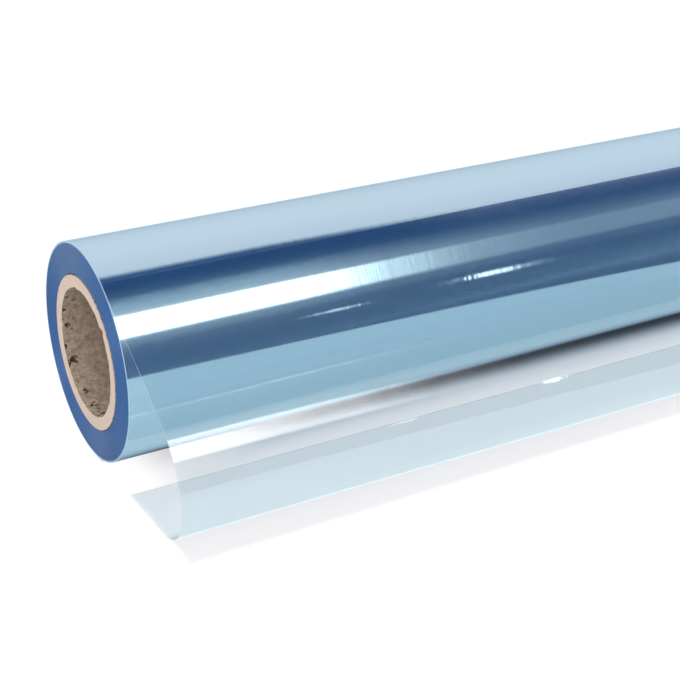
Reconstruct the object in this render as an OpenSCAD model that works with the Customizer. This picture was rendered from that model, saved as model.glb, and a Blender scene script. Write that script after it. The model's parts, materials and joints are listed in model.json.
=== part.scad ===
// Roll of clear plastic sheeting, wound on a cardboard tube, with its outer turn sprung loose.
// It lies on its side. X runs along the tube, -Y is the front and +Z is up.
// The origin is on the tube's axis, half way along it. All lengths are in millimetres.

/* [Tube] */
// Inside diameter of the cardboard tube
tube_bore = 76.2; // [50:0.1:90]
// Wall of the cardboard tube
tube_wall = 7.5; // [4:0.5:12]
// Play between the tube and the first turn of sheeting
tube_play = 0.05; // [0.02:0.01:0.2]

/* [Sheeting] */
// Width of the sheeting, which is also the length of the tube
sheet_width = 500; // [200:10:1000]
// Thickness of the sheeting
sheet_thick = 0.3; // [0.2:0.05:0.8]
// Outside diameter of the wound turns
roll_dia = 130; // [112:1:200]
// How far its own weight flattens the underside of the soft roll
flat_sag = 0.6; // [0.5:0.1:1.5]

/* [Edges of the turns] */
// Distance between two hollows of the spiral on each end face
turn_pitch = 2; // [1:0.5:4]
// Width of the hollow between turns that stand proud
turn_gap = 0.8; // [0.3:0.1:0.9]
// Depth of that hollow
turn_depth = 0.5; // [0.2:0.1:1.5]
// Distance from the outer turn to the first hollow
turn_rim = 2; // [1.5:0.5:4]

/* [Loose end] */
// Slope in degrees at which the outer turn leaves the roll
leave_slope = 29; // [20:1:35]
// Slope in degrees at the foot of its long gentle run
run_slope = 41; // [38:1:50]
// Radius of the bend from that run down to upright
shoulder_r = 47; // [30:1:60]
// Radius of the bend from upright to flat on the ground
toe_r = 27; // [15:1:40]
// Length of the free strip that lies on the ground
lip_length = 44; // [20:1:50]

/* [Hidden] */
$fn = 180;

roll_r = roll_dia / 2;
tube_r = tube_bore / 2 + tube_wall;
wound_r = tube_r + tube_play;
ground = roll_r - flat_sag;
upright = 90;

// The sheeting leaves the roll as a tangent, so the place follows from the slope.
leave_angle = upright + leave_slope;
// The gentle run has the radius that brings the strip down to the ground.
run_drop = roll_r * cos(leave_slope) + ground - shoulder_r * cos(run_slope) - toe_r;
run_r = run_drop / (cos(leave_slope) - cos(run_slope));
// Each bend of the loose end is its outer radius and the angle that it turns.
loose_bends = [
    [run_r, run_slope - leave_slope],
    [shoulder_r, upright - run_slope],
    [toe_r, upright],
];

first_hollow_r = roll_r - turn_rim;
hollow_halves = floor((first_hollow_r - turn_gap - wound_r) / (turn_pitch / 2));
cut_over = 1;
// The loose end turns by no more than this many degrees from one facet to the next.
facet_turn = 2;

// Turns a shape drawn round Z, with Y up, so that its axis lies along X and Z is up.
module lay_down() {
    rotate([90, 0, 90]) children();
}

// One half turn of a spiral, drawn as two centres draw it: the centres lie a quarter of the
// pitch to either side, and each next half is half a pitch larger.
module half_turn(pitch, upper) {
    translate([(upper ? -1 : 1) * pitch / 4, 0, 0])
        rotate([0, 0, upper ? 0 : 180])
            rotate_extrude(angle = 180) children();
}

// The wound turns as one body, one thickness higher where the outer turn ends.
module wound_body() {
    rotate([0, 0, leave_angle])
        translate([0, 0, -sheet_width / 2]) {
            half_turn(sheet_thick, true) square([roll_r - 3 * sheet_thick / 4, sheet_width]);
            half_turn(sheet_thick, false) square([roll_r - sheet_thick / 4, sheet_width]);
        }
}

// Spiral hollow cut down from z = 0, between turns that were wound a little to one side.
module spiral_hollow() {
    for (k = [0 : hollow_halves - 1])
        half_turn(turn_pitch, k % 2 == 1)
            translate([first_hollow_r - k * turn_pitch / 2 - turn_gap / 2, -turn_depth])
                square([turn_gap, turn_depth + cut_over]);
}

// Both end faces show the same turns.
module turn_edges() {
    rotate([0, 0, leave_angle]) {
        translate([0, 0, sheet_width / 2]) spiral_hollow();
        translate([0, 0, turn_depth - cut_over - sheet_width / 2]) spiral_hollow();
    }
}

// The flat that the roll rests on.
module ground_cut() {
    translate([-roll_r, -ground - roll_r, -sheet_width / 2 - cut_over])
        cube([roll_dia, roll_r, sheet_width + 2 * cut_over]);
}

// Unit vector out of the sheeting's outer face, where the strip has turned by this angle.
function outward(angle) = [cos(angle), sin(angle)];

// Points along one face of the loose end, at this depth under its outer face. Each bend starts
// where the last one stopped, and after the last bend comes the flat strip.
function face_points(depth, bends, place, angle, k = 0) =
    k == len(bends)
    ? [
        place - depth * outward(angle),
        place - depth * outward(angle) + lip_length * outward(angle + upright),
    ]
    : let (
        radius = bends[k][0],
        turn = bends[k][1],
        centre = place - radius * outward(angle),
        steps = ceil(turn / facet_turn)
    )
    concat(
        [for (i = [0 : steps - 1]) centre + (radius - depth) * outward(angle + turn * i / steps)],
        face_points(depth, bends, centre + radius * outward(angle + turn), angle + turn, k + 1)
    );

// The loose end leaves the roll at the top of its outer turn, as one strip of even thickness.
module loose_end() {
    start = [roll_r, 0];
    outer = face_points(0, loose_bends, start, 0);
    inner = face_points(sheet_thick, loose_bends, start, 0);
    rotate([0, 0, leave_angle])
        linear_extrude(sheet_width, center = true)
            polygon(concat(outer, [for (i = [len(inner) - 1 : -1 : 0]) inner[i]]));
}

// Spirally wound cardboard tube, cut flush with the sheeting.
module core() {
    color([0.80, 0.71, 0.60])
        lay_down()
            difference() {
                cylinder(r = tube_r, h = sheet_width, center = true);
                cylinder(d = tube_bore, h = sheet_width + 2 * cut_over, center = true);
            }
}

// The whole length of sheeting: its wound turns and the end that has sprung off them.
module film() {
    color([0.36, 0.58, 0.78])
        lay_down() {
            difference() {
                wound_body();
                cylinder(r = wound_r, h = sheet_width + 2 * cut_over, center = true);
                ground_cut();
                turn_edges();
            }
            loose_end();
        }
}

core();
film();
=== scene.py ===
import bpy
import bmesh
import json
import math
from mathutils import Matrix, Vector, noise


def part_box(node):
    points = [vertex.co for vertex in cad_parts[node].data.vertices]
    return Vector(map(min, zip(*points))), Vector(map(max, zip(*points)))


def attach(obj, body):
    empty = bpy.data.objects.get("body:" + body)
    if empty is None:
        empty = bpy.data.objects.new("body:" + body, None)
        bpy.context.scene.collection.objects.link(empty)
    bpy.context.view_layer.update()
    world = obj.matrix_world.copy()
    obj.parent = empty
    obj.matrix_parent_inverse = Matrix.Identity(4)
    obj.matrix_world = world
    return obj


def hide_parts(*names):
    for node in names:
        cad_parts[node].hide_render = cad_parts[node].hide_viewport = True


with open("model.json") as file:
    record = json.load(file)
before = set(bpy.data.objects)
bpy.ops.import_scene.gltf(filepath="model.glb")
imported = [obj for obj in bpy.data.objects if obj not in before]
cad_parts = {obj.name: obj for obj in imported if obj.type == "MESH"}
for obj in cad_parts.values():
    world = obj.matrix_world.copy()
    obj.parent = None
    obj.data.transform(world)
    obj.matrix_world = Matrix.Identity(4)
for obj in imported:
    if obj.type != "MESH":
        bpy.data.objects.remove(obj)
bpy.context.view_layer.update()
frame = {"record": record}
print("stage 1: frame loaded")

filmLow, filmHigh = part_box("film")
coreLow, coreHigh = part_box("core")
halfWidth = filmHigh.x
groundHeight = filmLow.z
coreBore = next(mount for mount in frame["record"]["mounts"] if mount["name"] == "core_bore")
boreRadius = coreBore["dims"]["r_mm"] / 1000
tubeRadius = max(coreHigh.y, coreHigh.z)
tolerance = 1e-6      # what lies closer than this is in the same place

# all lengths are metres, and slopes are degrees below level
sheeting = {
    "thickness": 0.0003,
    "outerRadius": 0.065,   # over the outer turn, where it leaves the roll
    "leaveSlope": 32,       # where the outer turn leaves the roll
    "runSlope": 37,         # at the foot of its long gentle run
    # the bends after that run: the slope that each ends at, its radius and its steps
    "bends": [(46, 0.030, 6), (68, 0.065, 16), (90, 0.0444, 16), (180, 0.0264, 44)],
    "lipLength": 0.0460,
}


def radians(degrees):
    return degrees * math.pi / 180


def outward(angle):
    # unit vector across the roll, at this many degrees from +Y towards +Z
    return Vector((0, math.cos(radians(angle)), math.sin(radians(angle))))


def smoothStep(low, high, value):
    t = min(1.0, max(0.0, (value - low) / (high - low)))
    return t * t * (3 - 2 * t)


leaveAngle = 90 + sheeting["leaveSlope"]


class Wire:     # one output in a node tree, so that shader sums read as sums
    def __init__(self, bench, socket):
        self.bench = bench
        self.socket = socket

    def sum(self, operation, *values):
        return self.bench.add("ShaderNodeMath", {"operation": operation}, dict(enumerate(values)))

    def most(self, other):
        return self.sum("MAXIMUM", self, other)

    def least(self, other):
        return self.sum("MINIMUM", self, other)

    def __add__(self, other):
        return self.sum("ADD", self, other)

    def __sub__(self, other):
        return self.sum("SUBTRACT", self, other)

    def __mul__(self, other):
        return self.sum("MULTIPLY", self, other)

    def __truediv__(self, other):
        return self.sum("DIVIDE", self, other)

    def __pow__(self, other):
        return self.sum("POWER", self, other)

    def __rsub__(self, other):
        return self.sum("SUBTRACT", other, self)

    def __neg__(self):
        return self * -1

    __radd__ = __add__
    __rmul__ = __mul__


class Bench:     # a cleared node tree, and the one way to lay nodes in it
    def __init__(self, tree):
        self.tree = tree
        tree.nodes.clear()

    def add(self, kind, settings=None, sockets=None, out=0):
        node = self.tree.nodes.new(kind)
        for name, value in (settings or {}).items():
            if name == "stops":
                ramp = node.color_ramp.elements
                while len(ramp) < len(value):
                    ramp.new(0.5)
                for stop, (place, level) in zip(ramp, value):
                    stop.position = place
                    stop.color = (level, level, level, 1)
            else:
                setattr(node, name, value)
        for name, value in (sockets or {}).items():
            if isinstance(value, Wire):
                self.tree.links.new(value.socket, node.inputs[name])
            else:
                node.inputs[name].default_value = value
        return Wire(self, node.outputs[out]) if len(node.outputs) else None

    def coords(self):
        return self.add("ShaderNodeTexCoord", out="Object")

    def parts(self, vector):
        return [self.add("ShaderNodeSeparateXYZ", None, {0: vector}, axis) for axis in "XYZ"]

    def stretch(self, vector, scale):
        return self.add("ShaderNodeMapping", None, {"Vector": vector, "Scale": scale})

    def noise(self, vector, scale, detail=3, rough=0.5):
        sockets = {"Vector": vector, "Scale": scale, "Detail": detail, "Roughness": rough}
        return self.add("ShaderNodeTexNoise", None, sockets)

    def lines(self, value, scale, detail):
        # noise along one number, for rings and plies
        sockets = {"W": value, "Scale": scale, "Detail": detail}
        return self.add("ShaderNodeTexNoise", {"noise_dimensions": "1D"}, sockets)

    def blend(self, factor, first, second):
        sockets = {0: factor, 6: paint(first), 7: paint(second)}
        return self.add("ShaderNodeMix", {"data_type": "RGBA"}, sockets, 2)

    def vary(self, factor, colour, span):
        # from a darker to a paler shade of one colour
        dark, pastPaintedShadow = [[channel * share for channel in colour] for share in span]
        return self.blend(factor, dark, pastPaintedShadow)

    def ramp(self, value, stops):
        return self.add("ShaderNodeValToRGB", {"stops": stops}, {0: value})

    def step(self, value, low, high):
        sockets = {"Value": value, 1: low, 2: high, 3: 0, 4: 1}
        return self.add("ShaderNodeMapRange", {"interpolation_type": "SMOOTHSTEP"}, sockets)

    def bump(self, height, distance, strength=1.0):
        sockets = {"Height": height, "Distance": distance, "Strength": strength}
        return self.add("ShaderNodeBump", None, sockets)

    def principled(self, sockets):
        return self.add("ShaderNodeBsdfPrincipled", None, sockets)

    def finish(self, shader):
        self.add("ShaderNodeOutputMaterial", None, {"Surface": shader})


def paint(colour):
    return colour if isinstance(colour, Wire) else (*colour, 1)


def newMaterial(name):
    material = bpy.data.materials.new(name)
    material.use_nodes = True
    return material, Bench(material.node_tree)


# camera and the studio

camera = {
    "place": (-0.4914, -0.7082, 0.3425),
    "pitch": 65.5,      # degrees up from straight down
    "heading": -30.08,
    "lens": 74.9,
    "sensor": 36,
    "nearest": 0.01,
}


def makeCamera():
    data = bpy.data.cameras.new("camera")
    data.lens = camera["lens"]
    data.sensor_width = camera["sensor"]
    data.sensor_fit = "HORIZONTAL"
    data.clip_start = camera["nearest"]
    cam = bpy.data.objects.new("camera", data)
    bpy.context.scene.collection.objects.link(cam)
    cam.location = camera["place"]
    cam.rotation_euler = (radians(camera["pitch"]), 0, radians(camera["heading"]))
    bpy.context.scene.camera = cam


studio = {
    "diffuseLight": 0.95,
    # what gloss sees round the roll's axis: degrees up from the front, and half its brightness
    "bands": [
        (-180, 0.5), (-100, 0.5), (-90, 0.03), (0, 0.03), (10, 0.05), (20, 0.10), (27, 0.26),
        (33, 0.45), (56, 0.55), (63, 0.30), (69, 0.13), (75, 0.04), (84, 0.01), (96.5, 0.01),
        (101, 0.58), (110, 0.61), (130, 0.66), (150, 0.66), (165, 0.62), (180, 0.56),
    ],
    "bandLight": 2.0,
    # the dark edge of the ceiling drops towards the far end: from where, how far along, and
    # its slant in degrees
    "slantStart": 0.42, "slantReach": 0.13, "ceilingSlant": 45,
    "slantIn": (70, 90), "slantOut": (150, 120),
    # the bands in front are darker towards the far end
    "frontLow": (5, 15), "frontHigh": (85, 75),
    "sideFade": [(0.42, 1.0), (0.50, 0.5), (0.6, 0.28)],
    # the front softbox: its edges in degrees, and how it fades along the roll
    "softboxLow": (29.5, 34.5), "softboxHigh": (54.5, 51.5), "softboxLight": 8.0,
    "softboxFade": [(0.40, 1.0), (0.44, 0.75), (0.47, 0.38), (0.49, 0.2), (0.54, 0.05), (0.60, 0.03)],
    # small lamps: direction along the roll, degrees, half sizes and brightness; and where
    # their edge starts to shine and shines fully, as shares of those sizes squared
    "smallLamps": [(0.460, 12.0, 0.011, 1.7, 3.0), (0.556, 13.8, 0.009, 3.2, 8.0)],
    "lampEdge": (1.0, 0.3),
}


def makeWorld():
    world = bpy.data.worlds.new("studio")
    bpy.context.scene.world = world
    world.use_nodes = True
    bench = Bench(world.node_tree)
    x, y, z = bench.parts(bench.add("ShaderNodeTexCoord", out="Generated"))
    around = z.sum("ARCTAN2", z, -y) * (180 / math.pi)
    along = (x - studio["slantStart"]).most(0)
    slant = along.least(studio["slantReach"]) * studio["ceilingSlant"]
    slanted = bench.step(around, *studio["slantIn"]) * bench.step(around, *studio["slantOut"])
    turned = around + slant * slanted
    # a ramp runs from 0 to 1, so the whole round, from -180 to 180 degrees, is brought into that
    stops = [(angle / 360 + 0.5, level) for angle, level in studio["bands"]]
    bands = bench.ramp(turned / 360 + 0.5, stops)
    front = bench.step(around, *studio["frontLow"]) * bench.step(around, *studio["frontHigh"])
    bands = bands * studio["bandLight"] * (1 - front * (1 - bench.ramp(x, studio["sideFade"])))
    softbox = bench.step(around, *studio["softboxLow"]) * bench.step(around, *studio["softboxHigh"])
    level = bands + softbox * bench.ramp(x, studio["softboxFade"]) * studio["softboxLight"]
    for place, angle, halfLength, halfHeight, bright in studio["smallLamps"]:
        off = ((x - place) / halfLength) ** 2 + ((around - angle) / halfHeight) ** 2
        level = level + bench.step(off, *studio["lampEdge"]) * bright
    glossy = bench.add("ShaderNodeLightPath", out="Is Glossy Ray")
    seen = bench.add("ShaderNodeLightPath", out="Is Camera Ray")
    white = seen.most(bench.add("ShaderNodeLightPath", out="Is Transmission Ray"))
    glossy = glossy * (1 - white)
    strength = glossy * level + white + (1 - glossy) * (1 - white) * studio["diffuseLight"]
    background = bench.add("ShaderNodeBackground", None, {"Color": (1, 1, 1, 1), "Strength": strength})
    bench.add("ShaderNodeOutputWorld", None, {"Surface": background})


floor = {
    "turn": 39.7,          # degrees that its edges are turned to the roll
    "front": 0.333,        # from the roll's middle to its front edge
    "back": 1.6, "side": 1.8,
    "ownColour": (0.80, 0.84, 0.86),
    "white": 1.05,
    "underFilm": (0.935, 0.895, 0.905),     # the light that comes down through the loose end
    # the share of white in what the camera sees near the roll and away from it, and in what the roll
    # mirrors; the rest is the floor's own colour, with its real shadow and, near the line that the roll
    # rests on, a painted shadow
    "lift": 0.66, "liftAway": 0.98, "liftGlossy": 0.95,
    "inGloss": (0.96, 1.11, 1.17),      # the tint of that white, as the roll mirrors it
    # distances from the line that the roll rests on, between which its shadow ends
    "contact": (0.022, 0.060),
    "contactGlossy": (0.020, 0.045),
    # a painted shadow: near the line that the roll rests on, the floor's own colour is blended to this
    # dark blue, fading out between the two distances below
    "shadow": (0.01, 0.06, 0.12),
    "paintedShadowReach": (0.020, 0.045),
    # at the near end only a thin line is left of the shadow, real and painted
    "thinLine": (0.010, 0.016), "thinLineBack": (-0.004, 0.002),
    "endFade": (0.10, 0.21),
    "openEnd": (0.045, 0.005),      # before the near end, where the loop is open
    "lipEdge": (-0.062, -0.054),
    # beside the object: past its near end and its far end, in front of it and behind it
    "pastNear": (-0.003, 0.001), "pastFar": (-0.02, 0.08),
    "inFront": (0.002, 0.009), "behind": (0.07, 0.12),
}


def makeFloor():
    bm = bmesh.new()
    bmesh.ops.create_grid(bm, x_segments=1, y_segments=1, size=0.5)
    depth = floor["back"] + floor["front"]
    bmesh.ops.scale(bm, vec=(2 * floor["side"], depth, 1), verts=bm.verts)
    bmesh.ops.translate(bm, vec=(0, depth / 2 - floor["front"], groundHeight), verts=bm.verts)
    turn = Matrix.Rotation(radians(floor["turn"]), 3, "Z")
    bmesh.ops.rotate(bm, cent=(0, 0, 0), matrix=turn, verts=bm.verts)
    material, bench = newMaterial("paleFloor")
    seen = bench.add("ShaderNodeLightPath", out="Is Camera Ray")
    glossy = bench.add("ShaderNodeLightPath", out="Is Glossy Ray")
    x, y, z = bench.parts(bench.coords())
    across = y.sum("ABSOLUTE", y)
    offLine = bench.step(across, *floor["thinLine"]).most(bench.step(y, *floor["thinLineBack"]))
    atEnd = bench.step(-x, *floor["endFade"]) * offLine
    nearEnd = bench.step(-x, *[halfWidth - reach for reach in floor["openEnd"]])
    nearEnd = nearEnd * bench.step(y, *floor["lipEdge"]) * offLine
    past = bench.step(-x, *[halfWidth + reach for reach in floor["pastNear"]])
    past = past.most(bench.step(x, *[halfWidth + reach for reach in floor["pastFar"]]))
    before = bench.step(y, *[filmLow.y - reach for reach in floor["inFront"]])
    bare = bench.step(across, *floor["contact"]).most(atEnd).most(past)
    away = past.most(before).most(nearEnd).most(bench.step(y, *floor["behind"]))
    lift = bare * (floor["lift"] + (floor["liftAway"] - floor["lift"]) * away)
    mirrored = glossy * (1 - seen)
    shown = seen * lift + mirrored * floor["liftGlossy"] * bench.step(across, *floor["contactGlossy"])
    # painted shadow: the floor's own colour darkens to that dark blue near the line that the roll rests
    # on, but not past the ends or at the open near end
    pastPaintedShadow = bench.step(across, *floor["paintedShadowReach"]).most(past).most(nearEnd)
    own = bench.blend(pastPaintedShadow, floor["shadow"], floor["ownColour"])
    own = bench.add("ShaderNodeBsdfDiffuse", None, {"Color": own})
    tint = bench.blend(mirrored, bench.blend(away, floor["underFilm"], (1, 1, 1)), floor["inGloss"])
    white = bench.add("ShaderNodeEmission", None, {"Color": tint, "Strength": floor["white"]})
    bench.finish(bench.add("ShaderNodeMixShader", None, {0: shown, 1: own, 2: white}))
    pieceFrom(bm, "floor", [material])


lampSet = {
    "size": (0.8, 0.5),
    "energy": 3,
    "place": (-0.45, -0.9, 0.85),
}


def makeLamp():
    data = bpy.data.lights.new("front softbox", "AREA")
    data.shape = "RECTANGLE"
    data.size, data.size_y = lampSet["size"]
    data.energy = lampSet["energy"]
    lamp = bpy.data.objects.new("front softbox", data)
    bpy.context.scene.collection.objects.link(lamp)
    lamp.location = lampSet["place"]
    lamp.rotation_euler = (-lamp.location).to_track_quat("-Z", "Y").to_euler()
    lamp.visible_glossy = False


def pieceFrom(bm, name, materials, smoothAngle=None):
    mesh = bpy.data.meshes.new(name)
    bm.to_mesh(mesh)
    bm.free()
    for material in materials:
        mesh.materials.append(material)
    if smoothAngle is not None:
        mesh.shade_smooth()
        mesh.set_sharp_from_angle(angle=radians(smoothAngle))
    piece = bpy.data.objects.new(name, mesh)
    bpy.context.scene.collection.objects.link(piece)
    return piece


def setPiece(piece, slot, *nodes):
    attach(piece, "root")
    if nodes:
        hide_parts(*nodes)


def wallProfile(bm, inner, outer, angle, endCuts, innerCuts, outerCuts):
    # a closed outline from the near end to the far end, to be spun round the roll's axis
    corners = [(-halfWidth, inner), (-halfWidth, outer), (halfWidth, outer), (halfWidth, inner)]
    verts = [bm.verts.new(Vector((x, 0, 0)) + radius * outward(angle)) for x, radius in corners]
    edges = [bm.edges.new((verts[i], verts[(i + 1) % 4])) for i in range(4)]
    bmesh.ops.subdivide_edges(bm, edges=[edges[0], edges[2]], cuts=endCuts)
    if outerCuts:
        bmesh.ops.subdivide_edges(bm, edges=[edges[1]], cuts=outerCuts)
    if innerCuts:
        bmesh.ops.subdivide_edges(bm, edges=[edges[3]], cuts=innerCuts)


def spinRound(bm, geom, centre, angle, steps, closed):
    return bmesh.ops.spin(bm, geom=geom, cent=centre, axis=(1, 0, 0), dvec=(0, 0, 0), angle=angle,
                          steps=steps, use_merge=closed, use_duplicate=False)


def markEnds(bm):
    # the faces across the axis take the second material
    for face in bm.faces:
        face.material_index = 1 if abs(face.normal.x) > 0.5 else 0


# the wound turns

wound = {
    "steps": 240,
    "widthCuts": 49,
    "spinGap": 0.001,         # radians left open, so that the rings can be made a spiral
    "seam": 0.00002,          # what lies closer than this across that gap is joined
    "edgeWander": 0.0005,     # how far the edges of the turns stray from one plane
    "wander": (0.37, 3.1, 0.5),     # its noise: steps per turn, what sets the ends apart, seed
    "hollow": 0.00012,        # depth between two turns
    "swell": 0.00003,         # height of the long soft waves in the outer turn
    "swellWaves": (14, 4, 1.7),     # their noise: steps per metre, steps per turn, seed
    "swellMiddle": 0.4,
    "smoothAngle": 40,
    # the side: clear layers over blue, with long waves and a fine ripple across the gloss
    "blue": (0.030, 0.115, 0.32), "blueSpan": (0.9, 1.1),
    "shine": (0.80, 0.97, 0.97),
    "mirror": 5.2,            # many clear layers together reflect like glass of this index
    "rough": (0.05, 0.05),    # the least, and what the waves add
    "ripple": (220, 14, 14), "rippleDetail": 4, "rippleShare": 0.4,
    "waves": (9, 6, 6), "waveDetail": 2, "waveHeight": 0.0004, "waveStrength": 0.25,
    # the end faces: the edges of the turns as rings, and a painted highlight, a pale band along the
    # outer turn's edge
    "edgeBlue": (0.024, 0.115, 0.32), "edgeSpan": (0.75, 1.25),
    "edgeRough": (0.38, 0.12),      # the least, and what the rings add
    "edgeIndex": 1.5,
    "ringScale": 2600, "grainScale": (400, 400, 400), "edgeDetail": 3,
    "ringShare": 0.7, "ringHeight": 0.0002, "ringStrength": 0.6,
    "paintedRimBlue": (0.45, 0.62, 0.80),
    "paintedRimHighlight": (0.0015, 0.0008),  # how far in from the outer turn the painted highlight begins and is full
}


def woundMaterials():
    side, bench = newMaterial("woundSheeting")
    place = bench.coords()
    fine = bench.noise(bench.stretch(place, wound["ripple"]), 1.0, wound["rippleDetail"])
    coarse = bench.noise(bench.stretch(place, wound["waves"]), 1.0, wound["waveDetail"])
    height = fine * wound["rippleShare"] + coarse
    least, more = wound["rough"]
    bench.finish(bench.principled({
        "Base Color": bench.vary(coarse, wound["blue"], wound["blueSpan"]),
        "Roughness": least + more * coarse,
        "IOR": wound["mirror"],
        "Specular Tint": paint(wound["shine"]),
        "Normal": bench.bump(height, wound["waveHeight"], wound["waveStrength"]),
    }))
    ends, bench = newMaterial("woundEdges")
    place = bench.coords()
    x, y, z = bench.parts(place)
    radius = (y * y + z * z) ** 0.5
    rings = bench.lines(radius, wound["ringScale"], wound["edgeDetail"])
    grain = bench.noise(bench.stretch(place, wound["grainScale"]), 1.0, wound["edgeDetail"])
    # painted highlight: a pale band just inside the outer turn, standing in for the light that its edge
    # catches
    paintedRimHighlight = bench.step(radius, *[sheeting["outerRadius"] - inset for inset in wound["paintedRimHighlight"]])
    tone = rings * wound["ringShare"] + grain * (1 - wound["ringShare"])
    tone = bench.vary(tone, wound["edgeBlue"], wound["edgeSpan"])
    least, more = wound["edgeRough"]
    bench.finish(bench.principled({
        "Base Color": bench.blend(paintedRimHighlight, tone, wound["paintedRimBlue"]),
        "Roughness": least + more * rings,
        "IOR": wound["edgeIndex"],
        "Normal": bench.bump(rings, wound["ringHeight"], wound["ringStrength"]),
    }))
    return [side, ends]


def makeWoundTurns():
    thickness = sheeting["thickness"]
    outer = sheeting["outerRadius"] - thickness
    turns = int((outer - tubeRadius) / thickness)
    inner = outer - turns * thickness
    bm = bmesh.new()
    wallProfile(bm, inner, outer, leaveAngle, 2 * turns - 1, 0, wound["widthCuts"])
    almost = 2 * math.pi - wound["spinGap"]
    spinRound(bm, bm.verts[:] + bm.edges[:], (0, 0, 0), almost, wound["steps"], False)
    for v in bm.verts:       # the rings become one spiral, a thickness further out after each turn
        radius = math.hypot(v.co.y, v.co.z)
        angle = (math.atan2(v.co.z, v.co.y) - radians(leaveAngle)) % (2 * math.pi)
        share = angle / almost if angle < almost + wound["spinGap"] / 2 else 0.0
        count = (radius - inner) / thickness
        end = 1 if v.co.x > 0 else -1
        radius += thickness * share
        if abs(v.co.x) > halfWidth - tolerance:
            perTurn, apart, seed = wound["wander"]
            stray = noise.noise(Vector(((count + share) * perTurn, apart * end, seed)))
            hollow = wound["hollow"] if round(2 * count) % 2 == 0 else 0
            v.co.x = end * (halfWidth - wound["edgeWander"] * (0.5 + 0.5 * stray) - hollow)
        elif count > turns - 0.5:
            perMetre, perTurn, seed = wound["swellWaves"]
            wave = noise.noise(Vector((v.co.x * perMetre, perTurn * share, seed)))
            radius += wound["swell"] * (wave - wound["swellMiddle"])
        across = outward(leaveAngle + 360 * share)
        v.co = Vector((v.co.x, radius * across.y, radius * across.z))
    bmesh.ops.remove_doubles(bm, verts=bm.verts, dist=wound["seam"])
    bmesh.ops.holes_fill(bm, edges=[e for e in bm.edges if e.is_boundary], sides=0)
    bmesh.ops.recalc_face_normals(bm, faces=bm.faces)
    for v in bm.verts:       # the soft roll rests on a narrow flat
        v.co.z = max(v.co.z, groundHeight)
    markEnds(bm)
    piece = pieceFrom(bm, "woundTurns", woundMaterials(), wound["smoothAngle"])
    setPiece(piece, "sheeting", "film")


# the loose end

loose = {
    "tuckSteps": 2, "runSteps": 18, "lipSteps": 8,
    "widthCuts": 79,
    "tuck": 0.00002,         # how far its start lies under the outer turn's surface
    "tuckTurn": 1.5,         # and for how many degrees of turn
    "drift": 0.0035,         # how much slacker the loop is at the far end
    "driftFull": 0.4,        # the share of the half width past which it grows no more
    "driftHeight": (0.04, -0.02),   # between these heights the slack sets in
    "tipHeld": 0.7,          # the share of the slack that the tip doesn't take
    "lying": 0.001,          # what is lower than this over the ground lies on it
    "smoothAngle": 40,
    "rimNormal": 0.9,        # a face that looks this squarely along the roll is a cut rim
    "mirror": 0.036,         # share that each face reflects when looked at squarely
    "slantPower": 5,
    "polish": 0.03,
    "clear": (0.945, 0.975, 0.985),
    "waves": (40, 25, 25), "waveDetail": 3, "waveHeight": 0.0005, "waveStrength": 0.15,
    "edge": (0.55, 0.64, 0.63), "edgeSpan": (0.9, 1.1),
    "edgeGrain": 300, "edgeDetail": 2,
    "edgeRough": 0.3, "edgeIndex": 1.5,
}


def looseMaterials():
    sheet, bench = newMaterial("clearSheeting")
    waves = bench.noise(bench.stretch(bench.coords(), loose["waves"]), 1.0, loose["waveDetail"])
    normal = bench.bump(waves, loose["waveHeight"], loose["waveStrength"])
    # the share that is mirrored grows at a slant, alike on both faces of the sheet
    facing = bench.add("ShaderNodeLayerWeight", None, {"Blend": 0.5, "Normal": normal}, 1)
    mirror = loose["mirror"] + (1 - loose["mirror"]) * facing ** loose["slantPower"]
    clear = bench.add("ShaderNodeBsdfTransparent", None, {"Color": paint(loose["clear"])})
    gloss = {"Color": (1, 1, 1, 1), "Roughness": loose["polish"], "Normal": normal}
    gloss = bench.add("ShaderNodeBsdfAnisotropic", None, gloss)
    bench.finish(bench.add("ShaderNodeMixShader", None, {0: mirror, 1: clear, 2: gloss}))
    edge, bench = newMaterial("cutEdge")
    grain = bench.noise(bench.coords(), loose["edgeGrain"], loose["edgeDetail"])
    bench.finish(bench.principled({
        "Base Color": bench.vary(grain, loose["edge"], loose["edgeSpan"]),
        "Roughness": loose["edgeRough"],
        "IOR": loose["edgeIndex"],
    }))
    return [sheet, edge]


def looseBends(radius):
    # radius, turn and steps of each bend: the tuck, the run that brings the sheet down, the rest
    leave, run = sheeting["leaveSlope"], sheeting["runSlope"]
    bends, slope, fall = [], run, 0
    for toSlope, bendRadius, steps in sheeting["bends"]:
        bends.append((bendRadius, toSlope - slope, steps))
        fall += bendRadius * (math.cos(radians(slope)) - math.cos(radians(toSlope)))
        slope = toSlope
    height = radius * outward(leaveAngle).z - groundHeight
    runRadius = (height - fall) / (math.cos(radians(leave)) - math.cos(radians(run)))
    tuck = (radius, loose["tuckTurn"], loose["tuckSteps"])
    return [tuck, (runRadius, run - leave, loose["runSteps"])] + bends


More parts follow.
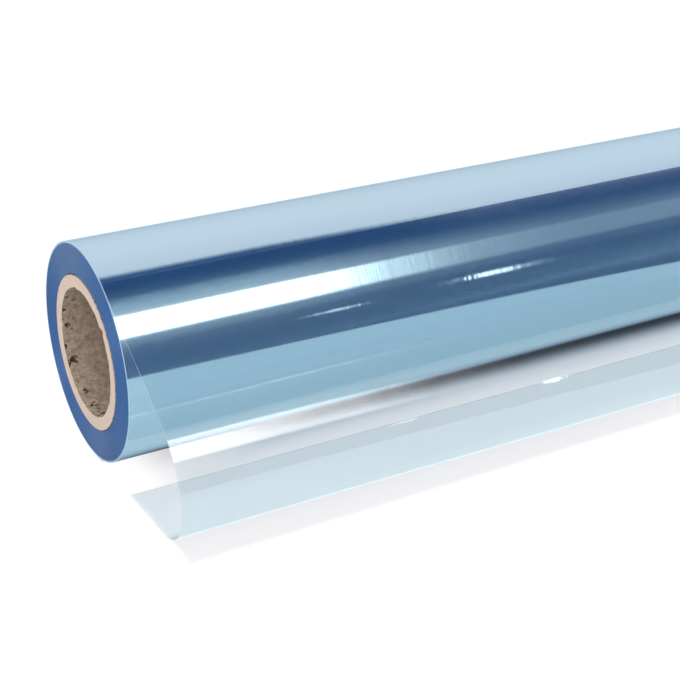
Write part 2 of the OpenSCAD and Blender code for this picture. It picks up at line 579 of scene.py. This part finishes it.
def makeLooseEnd():
    bm = bmesh.new()
    radius = sheeting["outerRadius"] - loose["tuck"]
    angle = leaveAngle - loose["tuckTurn"]
    place = radius * outward(angle)
    ends = [bm.verts.new(place + Vector((side * halfWidth, 0, 0))) for side in (-1, 1)]
    bmesh.ops.subdivide_edges(bm, edges=[bm.edges.new(ends)], cuts=loose["widthCuts"])
    geom = bm.verts[:] + bm.edges[:]
    bends = looseBends(radius)
    for radius, turn, steps in bends:
        centre = place - radius * outward(angle)
        geom = spinRound(bm, geom, centre, radians(turn), steps, False)["geom_last"]
        angle += turn
        place = centre + radius * outward(angle)
    step = Vector((0, sheeting["lipLength"] / loose["lipSteps"], 0))
    for k in range(loose["lipSteps"]):
        edges = [g for g in geom if isinstance(g, bmesh.types.BMEdge)]
        geom = bmesh.ops.extrude_edge_only(bm, edges=edges)["geom"]
        bmesh.ops.translate(bm, vec=step, verts=[g for g in geom if isinstance(g, bmesh.types.BMVert)])
    ground = groundHeight + loose["lying"]
    for v in bm.verts:       # slack in the loop, none where it is held and little at its tip
        far = smoothStep(-halfWidth, halfWidth * loose["driftFull"], v.co.x)
        below = smoothStep(*loose["driftHeight"], v.co.z)
        if v.co.z < ground and v.co.y > place.y:
            below *= 1 - loose["tipHeld"] * (v.co.y - place.y) / sheeting["lipLength"]
        v.co.y -= loose["drift"] * far * below
    bmesh.ops.recalc_face_normals(bm, faces=bm.faces)
    bm.faces.ensure_lookup_table()
    front = min(bm.faces, key=lambda face: face.calc_center_median().y)
    if front.normal.y > 0:
        bmesh.ops.reverse_faces(bm, faces=bm.faces)
    bmesh.ops.solidify(bm, geom=bm.faces[:], thickness=sheeting["thickness"])
    bm.normal_update()
    for face in bm.faces:    # the cut rims take the second material
        onSide = abs(face.normal.x) > loose["rimNormal"]
        onTip = face.normal.y > loose["rimNormal"] and face.calc_center_median().z < ground
        face.material_index = 1 if onSide or onTip else 0
    piece = pieceFrom(bm, "looseEnd", looseMaterials(), loose["smoothAngle"])
    setPiece(piece, "sheeting")
    length = sum(radians(turn) * radius for radius, turn, steps in bends) + sheeting["lipLength"]


# the cardboard tube

tube = {
    "steps": 256,
    "wallCuts": 7, "boreCuts": 99,
    # wear of the cut ends and their mouths, from noise that is coarse and fine, per metre
    "wear": 0.00045, "wearReach": 0.006, "wearMiddle": 0.2,
    "dents": (160, 420), "fineShare": 0.5,
    "endWear": (0.6, 0.4),    # what every place of a cut end loses, and what the noise adds
    # torn places of the near mouth: degrees round it, half their width and their depth
    "tears": [
        (18, 8, 0.0014), (4, 4, 0.0010), (-56, 5, 0.0011),
        (-74, 6, 0.0015), (-88, 3, 0.0009), (140, 4, 0.0008),
    ],
    "tearReach": 0.0035, "tearLeast": 0.6,
    "smoothAngle": 35,
    "matt": 0.9, "index": 1.3,
    # the inside: each noise as its scale, detail and roughness
    "board": (0.66, 0.52, 0.42),
    "boardDark": (0.30, 0.225, 0.165),
    "fibres": (700, 5, 0.65),
    "patches": (230, 4, 0.65), "patchShare": 0.55, "mottle": (0.30, 0.68),
    "specks": (420, 3, 0.7), "speckEdge": (0.56, 0.66), "speckShare": 0.6,
    "boardHeight": 0.0006, "boardStrength": 0.7,
    "paintedCrackShade": (0.06, 0.042, 0.03),     # painted shade in the cracks between the torn plies, just inside the near mouth
    "paintedCrackLines": (260, 2), "crackEdge": (0.57, 0.62), "crackReach": (0.012, 0.003),
    # the cut ends, where the plies show
    "cut": (0.80, 0.63, 0.53), "cutSpan": (0.75, 1.15),
    "plies": (1500, 2), "plyShare": 0.6,
    "grain": (500, 4, 0.6),
    "cutHeight": 0.0004, "cutStrength": 0.8,
}


def tubeMaterials():
    wall, bench = newMaterial("boardInside")
    place = bench.coords()
    fibres = bench.noise(place, *tube["fibres"])
    patches = bench.noise(place, *tube["patches"])
    specks = bench.step(bench.noise(place, *tube["specks"]), *tube["speckEdge"])
    mottle = patches * tube["patchShare"] + fibres * (1 - tube["patchShare"])
    tone = bench.blend(bench.step(mottle, *tube["mottle"]), tube["boardDark"], tube["board"])
    tone = bench.blend(specks * tube["speckShare"], tone, tube["boardDark"])
    x, y, z = bench.parts(place)
    nearMouth = bench.step(x, *[reach - halfWidth for reach in tube["crackReach"]])
    # painted shade: dark lines of noise just inside the near mouth, for the gaps between the torn plies
    paintedCrackLines = bench.step(bench.noise(place, *tube["paintedCrackLines"]), *tube["crackEdge"]) * nearMouth
    bench.finish(bench.principled({
        "Base Color": bench.blend(paintedCrackLines, tone, tube["paintedCrackShade"]),
        "Roughness": tube["matt"],
        "IOR": tube["index"],
        "Normal": bench.bump(fibres + patches, tube["boardHeight"], tube["boardStrength"]),
    }))
    cut, bench = newMaterial("boardCut")
    place = bench.coords()
    x, y, z = bench.parts(place)
    plies = bench.lines((y * y + z * z) ** 0.5, *tube["plies"])
    grain = bench.noise(place, *tube["grain"])
    tone = plies * tube["plyShare"] + grain * (1 - tube["plyShare"])
    bench.finish(bench.principled({
        "Base Color": bench.vary(tone, tube["cut"], tube["cutSpan"]),
        "Roughness": tube["matt"],
        "IOR": tube["index"],
        "Normal": bench.bump(plies + grain, tube["cutHeight"], tube["cutStrength"]),
    }))
    return [wall, cut]


def wearVertex(v):
    # wear on both ends and their mouths
    radius = math.hypot(v.co.y, v.co.z)
    near = smoothStep(halfWidth - tube["wearReach"], halfWidth, abs(v.co.x))
    coarse, fine = tube["dents"]
    rough = noise.noise(v.co * coarse) + tube["fineShare"] * noise.noise(v.co * fine)
    if radius < tubeRadius - tolerance:
        push = 1 + tube["wear"] * near * (rough - tube["wearMiddle"]) / radius
        v.co.y *= push
        v.co.z *= push
        if abs(v.co.x) > halfWidth - tolerance:
            least, more = tube["endWear"]
            v.co.x -= math.copysign(tube["wear"] * (least + more * rough), v.co.x)
    # torn places, at the near mouth only
    reach = tube["tearReach"]
    if v.co.x < reach - halfWidth and radius < boreRadius + reach:
        turn = math.degrees(math.atan2(v.co.z, v.co.y))
        torn = sum(deep * max(0, 1 - abs(turn - middle) / half) for middle, half, deep in tube["tears"])
        push = 1 + torn * (1 + rough) * (1 - (radius - boreRadius) / reach) / radius
        v.co.y *= push
        v.co.z *= push
        v.co.x += torn * max(0, tube["tearLeast"] + rough) * (1 - (v.co.x + halfWidth) / reach)


def makeTube():
    bm = bmesh.new()
    wallProfile(bm, boreRadius, tubeRadius, 0, tube["wallCuts"], tube["boreCuts"], 0)
    spinRound(bm, bm.verts[:] + bm.edges[:], (0, 0, 0), 2 * math.pi, tube["steps"], True)
    bmesh.ops.remove_doubles(bm, verts=bm.verts, dist=tolerance)
    bmesh.ops.recalc_face_normals(bm, faces=bm.faces)
    for v in bm.verts:
        wearVertex(v)
    bm.normal_update()
    markEnds(bm)
    piece = pieceFrom(bm, "cardboardTube", tubeMaterials(), tube["smoothAngle"])
    setPiece(piece, "cardboard", "core")


makeCamera()
makeWorld()
makeLamp()
makeFloor()
print("stage 2: camera, studio and floor")
makeTube()
print("stage 3: cardboard tube")
makeWoundTurns()
print("stage 4: wound turns")
makeLooseEnd()
print("stage 5: loose end")
bpy.context.scene.view_settings.view_transform = "Standard"
